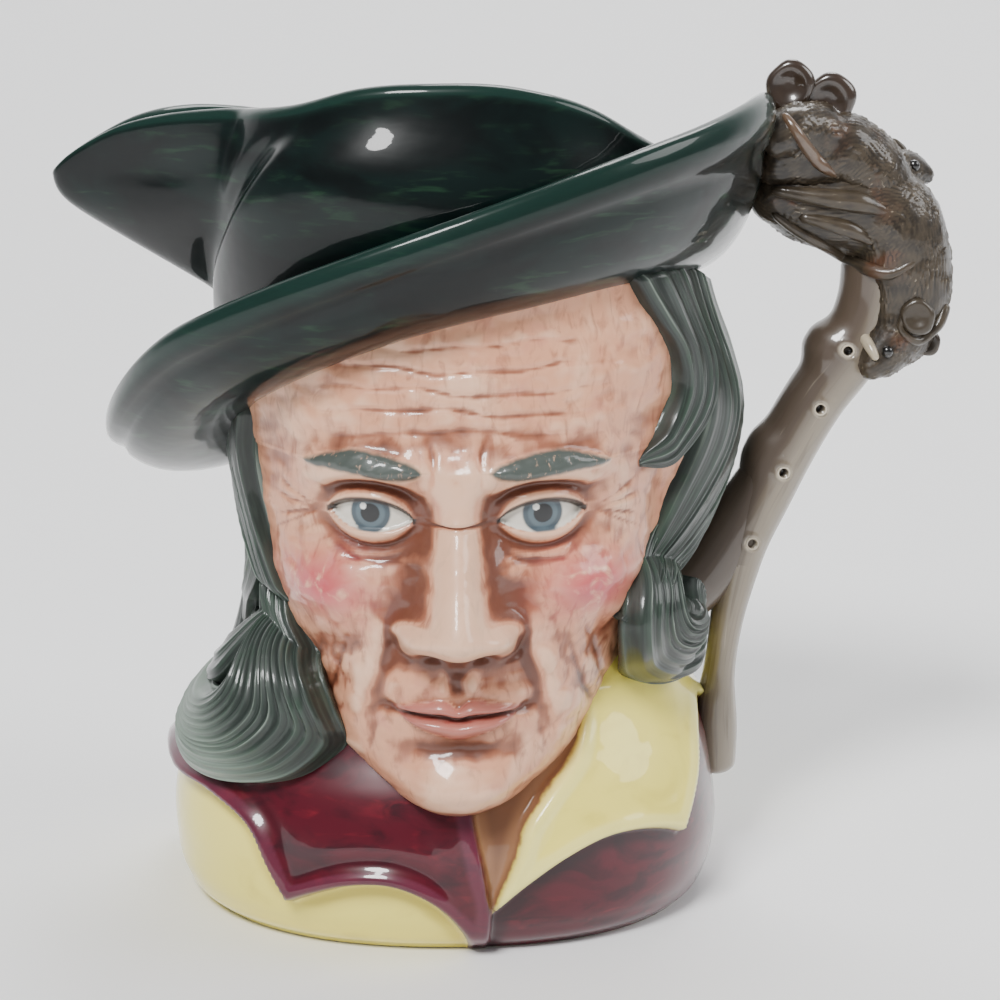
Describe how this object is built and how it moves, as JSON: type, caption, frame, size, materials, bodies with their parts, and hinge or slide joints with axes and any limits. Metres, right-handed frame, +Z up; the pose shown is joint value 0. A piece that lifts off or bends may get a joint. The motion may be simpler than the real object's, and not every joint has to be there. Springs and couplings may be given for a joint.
{
  "type": "toby jug",
  "caption": "Glazed earthenware head jug: a long-haired man in a wide-brimmed hat, open at the crown, with a pouring spout and a pipe-shaped handle topped by small furry animals.",
  "frame": {"origin": "middle of the jug's flat foot, on the surface it stands on", "axes": "+Z up out of the foot, -Y the way the face looks, +X towards the handle, so the spout points to -X"},
  "size_m": [0.1901, 0.1357, 0.1784],
  "materials": {
    "glazed_earthenware": "gloss glaze over hand-painted colours; the slot's colour is the hat's dark green, the largest of them"
  },
  "bodies": {
    "root": {"toby_jug": "glazed_earthenware"}
  },
  "joints": []
}
